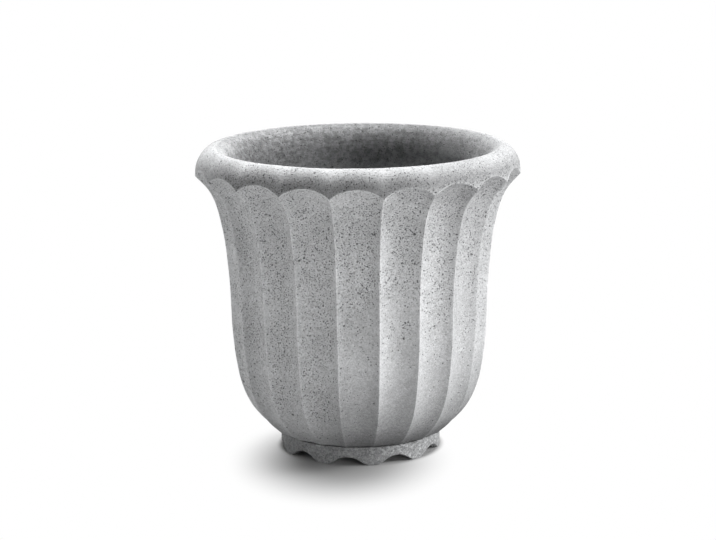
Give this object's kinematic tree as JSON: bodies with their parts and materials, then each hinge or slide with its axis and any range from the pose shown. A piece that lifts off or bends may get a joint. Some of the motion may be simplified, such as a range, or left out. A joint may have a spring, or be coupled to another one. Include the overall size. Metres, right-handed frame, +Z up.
{
  "type": "flower pot",
  "caption": "Fluted cast-cement flower pot with a rolled rim on a scalloped foot ring, with a lined drain hole, a pull-out plug and a lift-out drain screen.",
  "frame": {"origin": "on the floor plane, under the middle of the pot", "axes": "+Z up along the pot's axis; the middle of one flute faces -Y, and +X is to the right in the picture"},
  "size_m": [0.2966, 0.2966, 0.284],
  "materials": {
    "cast_cement": "matte, sandy, with small dark casting pits",
    "foot_cement": "matte, coarser sandy grain",
    "mortar": "matte, fine grain",
    "sleeve_plastic": "matte grey",
    "plug_rubber": "matte black",
    "screen_plastic": "matte black"
  },
  "bodies": {
    "pot": {"fluted_bowl": "cast_cement", "foot_ring": "foot_cement", "bedding_mortar": "mortar", "drain_sleeve": "sleeve_plastic"},
    "plug": {"drain_plug": "plug_rubber"},
    "screen": {"drain_screen": "screen_plastic"}
  },
  "joints": [
    {"name": "plug_pull", "type": "slide", "parent": "pot", "child": "plug", "axis": [0, 0, -1], "range_m": [0, 0.045]},
    {"name": "screen_lift", "type": "slide", "parent": "pot", "child": "screen", "axis": [0, 0, 1], "range_m": [0, 0.26]}
  ]
}
